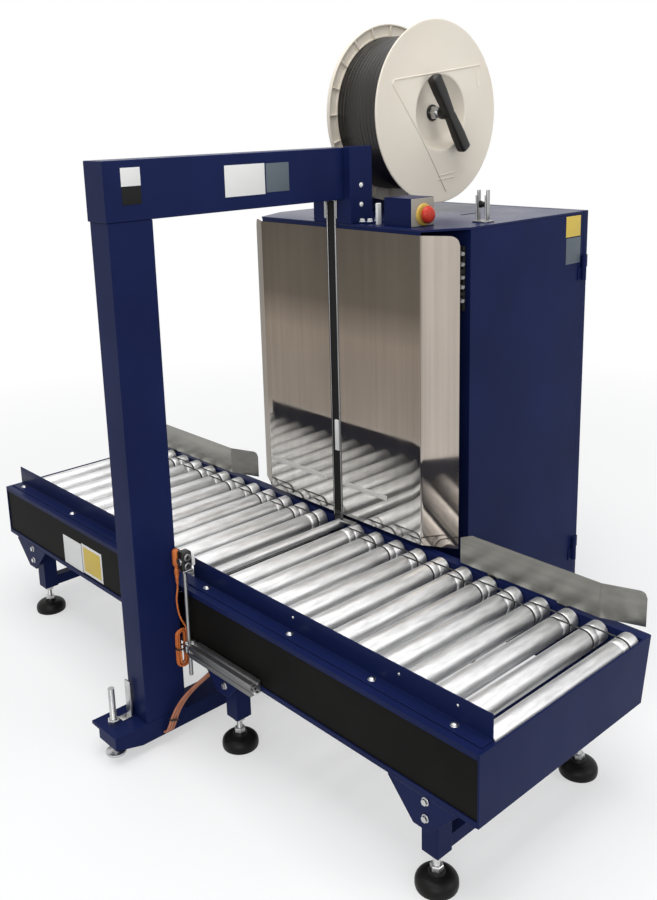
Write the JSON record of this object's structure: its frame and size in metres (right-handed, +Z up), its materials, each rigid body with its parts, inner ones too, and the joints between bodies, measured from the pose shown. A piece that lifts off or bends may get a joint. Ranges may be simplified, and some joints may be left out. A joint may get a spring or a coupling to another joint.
{
  "type": "strapping machine",
  "caption": "Side-seal carton strapping machine: powered roller conveyor under a strapping arch, with a strapping cabinet, a strap reel on top, an emergency stop and levelling feet.",
  "frame": {"origin": "on the floor, under the middle of the machine's footprint", "axes": "+X along the conveyor, -Y towards the arch column, +Y towards the cabinet, +Z up"},
  "size_m": [1.864, 1.4096, 1.719],
  "materials": {
    "navy_paint": "semi-gloss powder coat",
    "black_cover": "satin powder coat",
    "stainless": "bright brushed",
    "zinc": "zinc plated",
    "axle_steel": "ground",
    "bright_track": "polished",
    "head_aluminium": "anodised",
    "black_belt": "matt",
    "black_plastic": "moulded",
    "cream_plastic": "moulded",
    "black_strap": "extruded strap",
    "yellow_plastic": "moulded",
    "red_plastic": "moulded",
    "orange_lead": "moulded cable jacket"
  },
  "bodies": {
    "machine": {"conveyor_frame": "navy_paint", "end_panels": "navy_paint", "side_covers": "black_cover", "near_guides": "navy_paint", "far_guides": "stainless", "roller_axles": "axle_steel", "drive_belts": "black_belt", "support_legs": "navy_paint", "foot_pads": "black_plastic", "levelling_stems": "zinc", "arch_base": "navy_paint", "arch_column": "navy_paint", "arch_beam": "navy_paint", "strap_track": "bright_track", "cabinet_shell": "navy_paint", "cabinet_top": "navy_paint", "front_plates": "stainless", "strapping_head": "head_aluminium", "dispenser_post": "navy_paint", "estop_box": "navy_paint", "estop_collar": "yellow_plastic", "strap_guide": "zinc", "sensor_mount": "head_aluminium", "sensor_lead": "orange_lead", "lead_hank": "orange_lead", "cable_bundle": "orange_lead", "bolts": "zinc"},
    "roller_01_body": {"roller_01": "zinc"},
    "roller_02_body": {"roller_02": "zinc"},
    "roller_03_body": {"roller_03": "zinc"},
    "roller_04_body": {"roller_04": "zinc"},
    "roller_05_body": {"roller_05": "zinc"},
    "roller_06_body": {"roller_06": "zinc"},
    "roller_07_body": {"roller_07": "zinc"},
    "roller_08_body": {"roller_08": "zinc"},
    "roller_09_body": {"roller_09": "zinc"},
    "roller_10_body": {"roller_10": "zinc"},
    "roller_11_body": {"roller_11": "zinc"},
    "roller_12_body": {"roller_12": "zinc"},
    "roller_13_body": {"roller_13": "zinc"},
    "roller_14_body": {"roller_14": "zinc"},
    "roller_15_body": {"roller_15": "zinc"},
    "roller_16_body": {"roller_16": "zinc"},
    "roller_17_body": {"roller_17": "zinc"},
    "roller_18_body": {"roller_18": "zinc"},
    "roller_19_body": {"roller_19": "zinc"},
    "roller_20_body": {"roller_20": "zinc"},
    "roller_21_body": {"roller_21": "zinc"},
    "roller_22_body": {"roller_22": "zinc"},
    "roller_23_body": {"roller_23": "zinc"},
    "roller_24_body": {"roller_24": "zinc"},
    "gap_roller_body": {"gap_roller": "zinc"},
    "reel": {"reel_hub": "zinc", "rear_flange": "cream_plastic", "front_flange": "cream_plastic", "strap_coil": "black_strap"},
    "clamp_handle": {"tee_handle": "black_plastic"},
    "back_door": {"rear_door": "navy_paint"},
    "latch": {"door_latch": "black_plastic"},
    "stop_button": {"estop_button": "red_plastic"}
  },
  "joints": [
    {"name": "roller_01_spin", "type": "hinge", "parent": "machine", "child": "roller_01_body", "pos_m": [-0.9, -0.19675, 0.365], "axis": [0, 1, 0], "continuous": true},
    {"name": "roller_02_spin", "type": "hinge", "parent": "machine", "child": "roller_02_body", "pos_m": [-0.825, -0.19675, 0.365], "axis": [0, 1, 0], "continuous": true},
    {"name": "roller_03_spin", "type": "hinge", "parent": "machine", "child": "roller_03_body", "pos_m": [-0.75, -0.19675, 0.365], "axis": [0, 1, 0], "continuous": true},
    {"name": "roller_04_spin", "type": "hinge", "parent": "machine", "child": "roller_04_body", "pos_m": [-0.675, -0.19675, 0.365], "axis": [0, 1, 0], "continuous": true},
    {"name": "roller_05_spin", "type": "hinge", "parent": "machine", "child": "roller_05_body", "pos_m": [-0.6, -0.19675, 0.365], "axis": [0, 1, 0], "continuous": true},
    {"name": "roller_06_spin", "type": "hinge", "parent": "machine", "child": "roller_06_body", "pos_m": [-0.525, -0.19675, 0.365], "axis": [0, 1, 0], "continuous": true},
    {"name": "roller_07_spin", "type": "hinge", "parent": "machine", "child": "roller_07_body", "pos_m": [-0.45, -0.19675, 0.365], "axis": [0, 1, 0], "continuous": true},
    {"name": "roller_08_spin", "type": "hinge", "parent": "machine", "child": "roller_08_body", "pos_m": [-0.375, -0.19675, 0.365], "axis": [0, 1, 0], "continuous": true},
    {"name": "roller_09_spin", "type": "hinge", "parent": "machine", "child": "roller_09_body", "pos_m": [-0.3, -0.19675, 0.365], "axis": [0, 1, 0], "continuous": true},
    {"name": "roller_10_spin", "type": "hinge", "parent": "machine", "child": "roller_10_body", "pos_m": [-0.225, -0.19675, 0.365], "axis": [0, 1, 0], "continuous": true},
    {"name": "roller_11_spin", "type": "hinge", "parent": "machine", "child": "roller_11_body", "pos_m": [-0.15, -0.19675, 0.365], "axis": [0, 1, 0], "continuous": true},
    {"name": "roller_12_spin", "type": "hinge", "parent": "machine", "child": "roller_12_body", "pos_m": [-0.075, -0.19675, 0.365], "axis": [0, 1, 0], "continuous": true},
    {"name": "roller_13_spin", "type": "hinge", "parent": "machine", "child": "roller_13_body", "pos_m": [0.075, -0.19675, 0.365], "axis": [0, 1, 0], "continuous": true},
    {"name": "roller_14_spin", "type": "hinge", "parent": "machine", "child": "roller_14_body", "pos_m": [0.15, -0.19675, 0.365], "axis": [0, 1, 0], "continuous": true},
    {"name": "roller_15_spin", "type": "hinge", "parent": "machine", "child": "roller_15_body", "pos_m": [0.225, -0.19675, 0.365], "axis": [0, 1, 0], "continuous": true},
    {"name": "roller_16_spin", "type": "hinge", "parent": "machine", "child": "roller_16_body", "pos_m": [0.3, -0.19675, 0.365], "axis": [0, 1, 0], "continuous": true},
    {"name": "roller_17_spin", "type": "hinge", "parent": "machine", "child": "roller_17_body", "pos_m": [0.375, -0.19675, 0.365], "axis": [0, 1, 0], "continuous": true},
    {"name": "roller_18_spin", "type": "hinge", "parent": "machine", "child": "roller_18_body", "pos_m": [0.45, -0.19675, 0.365], "axis": [0, 1, 0], "continuous": true},
    {"name": "roller_19_spin", "type": "hinge", "parent": "machine", "child": "roller_19_body", "pos_m": [0.525, -0.19675, 0.365], "axis": [0, 1, 0], "continuous": true},
    {"name": "roller_20_spin", "type": "hinge", "parent": "machine", "child": "roller_20_body", "pos_m": [0.6, -0.19675, 0.365], "axis": [0, 1, 0], "continuous": true},
    {"name": "roller_21_spin", "type": "hinge", "parent": "machine", "child": "roller_21_body", "pos_m": [0.675, -0.19675, 0.365], "axis": [0, 1, 0], "continuous": true},
    {"name": "roller_22_spin", "type": "hinge", "parent": "machine", "child": "roller_22_body", "pos_m": [0.75, -0.19675, 0.365], "axis": [0, 1, 0], "continuous": true},
    {"name": "roller_23_spin", "type": "hinge", "parent": "machine", "child": "roller_23_body", "pos_m": [0.825, -0.19675, 0.365], "axis": [0, 1, 0], "continuous": true},
    {"name": "roller_24_spin", "type": "hinge", "parent": "machine", "child": "roller_24_body", "pos_m": [0.9, -0.19675, 0.365], "axis": [0, 1, 0], "continuous": true},
    {"name": "gap_roller_spin", "type": "hinge", "parent": "machine", "child": "gap_roller_body", "pos_m": [0.0115, -0.19675, 0.378], "axis": [0, 1, 0], "continuous": true},
    {"name": "reel_spin", "type": "hinge", "parent": "machine", "child": "reel", "pos_m": [0, 0.40325, 1.477], "axis": [1, 0, 0], "continuous": true},
    {"name": "handle_turn", "type": "hinge", "parent": "reel", "child": "clamp_handle", "pos_m": [0.1, 0.40325, 1.477], "axis": [1, 0, 0], "continuous": true},
    {"name": "door_swing", "type": "hinge", "parent": "machine", "child": "back_door", "pos_m": [0.365, 0.6665, 0.6], "axis": [0, 0, -1], "range_deg": [0, 110]},
    {"name": "latch_turn", "type": "hinge", "parent": "back_door", "child": "latch", "pos_m": [-0.318, 0.68875, 0.64], "axis": [0, 1, 0], "range_deg": [0, 90]},
    {"name": "stop_press", "type": "slide", "parent": "machine", "child": "stop_button", "axis": [-1, 0, 0], "range_m": [0, 0.005]}
  ],
  "couplings": [
    {"joint": "roller_02_spin", "follows": "roller_01_spin", "ratio": 1},
    {"joint": "roller_03_spin", "follows": "roller_01_spin", "ratio": 1},
    {"joint": "roller_04_spin", "follows": "roller_01_spin", "ratio": 1},
    {"joint": "roller_05_spin", "follows": "roller_01_spin", "ratio": 1},
    {"joint": "roller_06_spin", "follows": "roller_01_spin", "ratio": 1},
    {"joint": "roller_07_spin", "follows": "roller_01_spin", "ratio": 1},
    {"joint": "roller_08_spin", "follows": "roller_01_spin", "ratio": 1},
    {"joint": "roller_09_spin", "follows": "roller_01_spin", "ratio": 1},
    {"joint": "roller_10_spin", "follows": "roller_01_spin", "ratio": 1},
    {"joint": "roller_11_spin", "follows": "roller_01_spin", "ratio": 1},
    {"joint": "roller_12_spin", "follows": "roller_01_spin", "ratio": 1},
    {"joint": "roller_13_spin", "follows": "roller_01_spin", "ratio": 1},
    {"joint": "roller_14_spin", "follows": "roller_01_spin", "ratio": 1},
    {"joint": "roller_15_spin", "follows": "roller_01_spin", "ratio": 1},
    {"joint": "roller_16_spin", "follows": "roller_01_spin", "ratio": 1},
    {"joint": "roller_17_spin", "follows": "roller_01_spin", "ratio": 1},
    {"joint": "roller_18_spin", "follows": "roller_01_spin", "ratio": 1},
    {"joint": "roller_19_spin", "follows": "roller_01_spin", "ratio": 1},
    {"joint": "roller_20_spin", "follows": "roller_01_spin", "ratio": 1},
    {"joint": "roller_21_spin", "follows": "roller_01_spin", "ratio": 1},
    {"joint": "roller_22_spin", "follows": "roller_01_spin", "ratio": 1},
    {"joint": "roller_23_spin", "follows": "roller_01_spin", "ratio": 1},
    {"joint": "roller_24_spin", "follows": "roller_01_spin", "ratio": 1}
  ]
}
